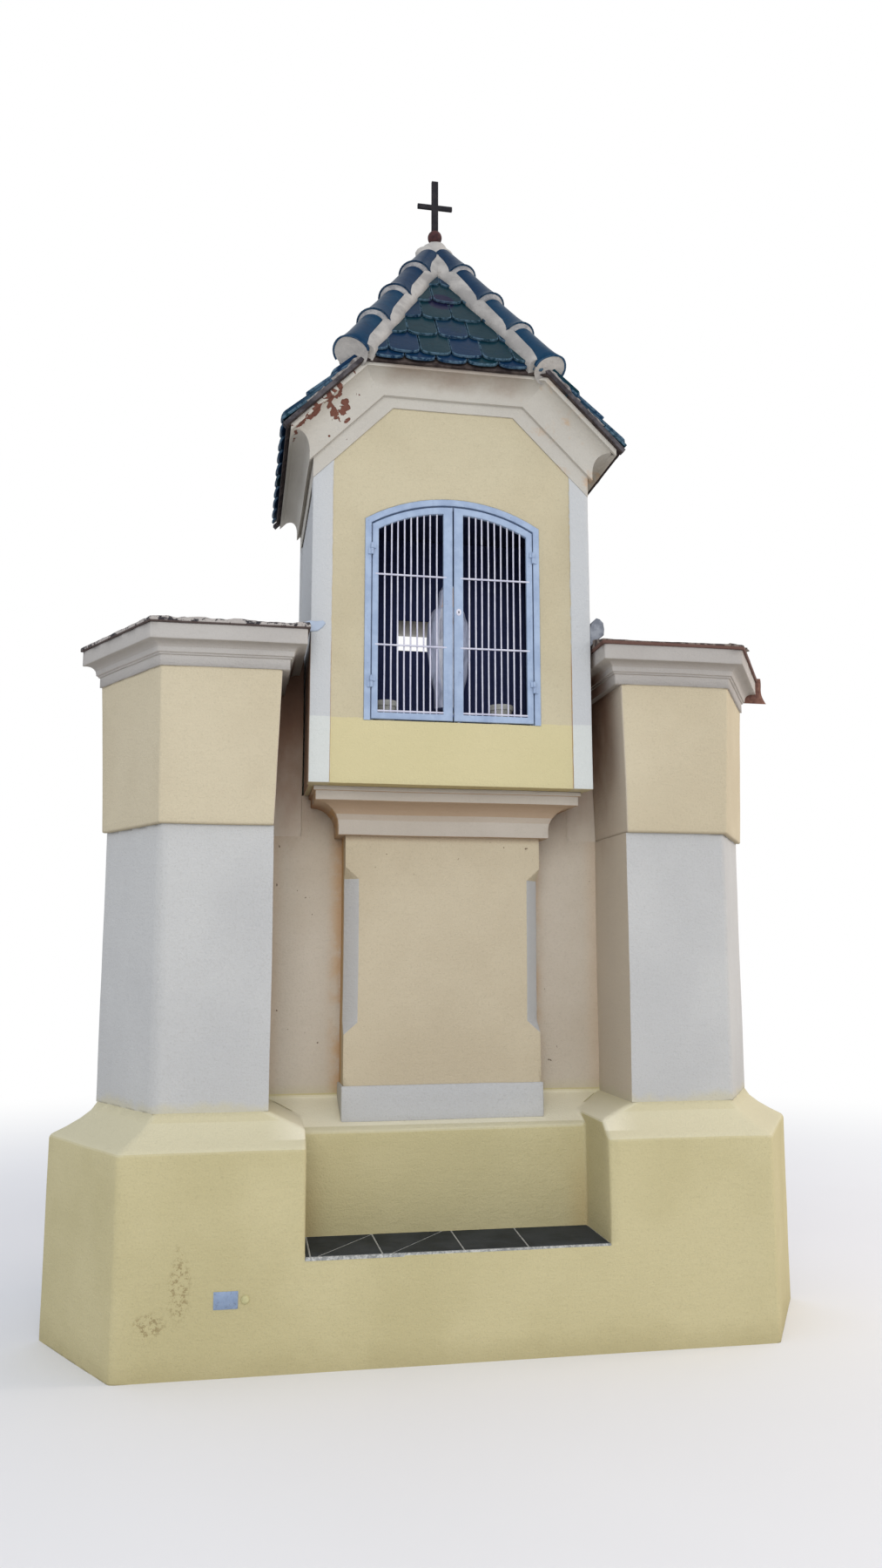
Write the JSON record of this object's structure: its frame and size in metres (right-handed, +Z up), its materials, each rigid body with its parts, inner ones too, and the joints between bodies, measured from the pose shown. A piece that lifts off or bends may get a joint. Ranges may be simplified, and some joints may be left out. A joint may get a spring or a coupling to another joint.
{
  "type": "wayside shrine",
  "caption": "Masonry wayside shrine: splayed side piers, seat recess, corbelled niche box with a tiled half-hipped roof, iron cross and a pair of hinged grille doors.",
  "frame": {"origin": "on the ground, in the middle of the plan", "axes": "+Z up, the doors and the seat face -Y, +X to the right seen from the front"},
  "size_m": [3.3676, 1.3782, 5.53],
  "materials": {
    "plinth_render": "matte",
    "white_render": "matte",
    "cream_render": "matte",
    "wall_render": "matte",
    "slate": "matte",
    "cap_sheet": "matte",
    "mortar": "matte",
    "glazed_tile": "gloss",
    "blue_steel": "satin",
    "rusty_iron": "matte",
    "dark_iron": "matte",
    "rusty_sheet": "matte",
    "painted_plaster": "satin",
    "pot_clay": "matte",
    "plate_metal": "satin"
  },
  "bodies": {
    "shrine": {"apex_cap": "mortar", "ball": "rusty_iron", "box_apron": "cream_render", "box_arch_wall": "cream_render", "box_ceiling": "cream_render", "box_floor": "cream_render", "box_front_left": "cream_render", "box_front_right": "cream_render", "box_left_wall": "cream_render", "box_rear_wall": "cream_render", "box_right_wall": "cream_render", "corbel": "white_render", "corner_fillet": "mortar", "cross": "dark_iron", "door_frame": "blue_steel", "end_sheet": "rusty_sheet", "figure": "painted_plaster", "figure_flowers": "painted_plaster", "front_gable_cornice": "white_render", "hinge_pins": "blue_steel", "hip_ridges": "glazed_tile", "left_block": "cream_render", "left_cap": "cap_sheet", "left_cornice": "white_render", "left_eave_cornice": "white_render", "left_plinth": "plinth_render", "left_pot": "pot_clay", "left_shaft": "white_render", "niche_sill": "plinth_render", "pedestal": "cream_render", "pedestal_base": "white_render", "rear_gable_cornice": "white_render", "rear_left_shoulder": "cream_render", "rear_plinth": "plinth_render", "rear_right_shoulder": "cream_render", "rear_shaft": "wall_render", "right_block": "cream_render", "right_cap": "cap_sheet", "right_cornice": "white_render", "right_eave_cornice": "white_render", "right_plinth": "plinth_render", "right_pot": "pot_clay", "right_shaft": "white_render", "roof_front_hip": "glazed_tile", "roof_left_slope": "glazed_tile", "roof_rear_hip": "glazed_tile", "roof_right_slope": "glazed_tile", "seat_slab": "slate", "seat_wall": "plinth_render", "wall_bolt": "rusty_iron", "wall_plate": "plate_metal"},
    "left_leaf": {"left_grille": "blue_steel"},
    "right_leaf": {"right_grille": "blue_steel", "lock_escutcheon": "blue_steel"}
  },
  "joints": [
    {"name": "left_leaf_hinge", "type": "hinge", "parent": "shrine", "child": "left_leaf", "pos_m": [-0.3655, -0.503, 3.06], "axis": [0, 0, -1], "range_deg": [0, 110]},
    {"name": "right_leaf_hinge", "type": "hinge", "parent": "shrine", "child": "right_leaf", "pos_m": [0.3655, -0.503, 3.06], "axis": [0, 0, 1], "range_deg": [0, 110]}
  ]
}
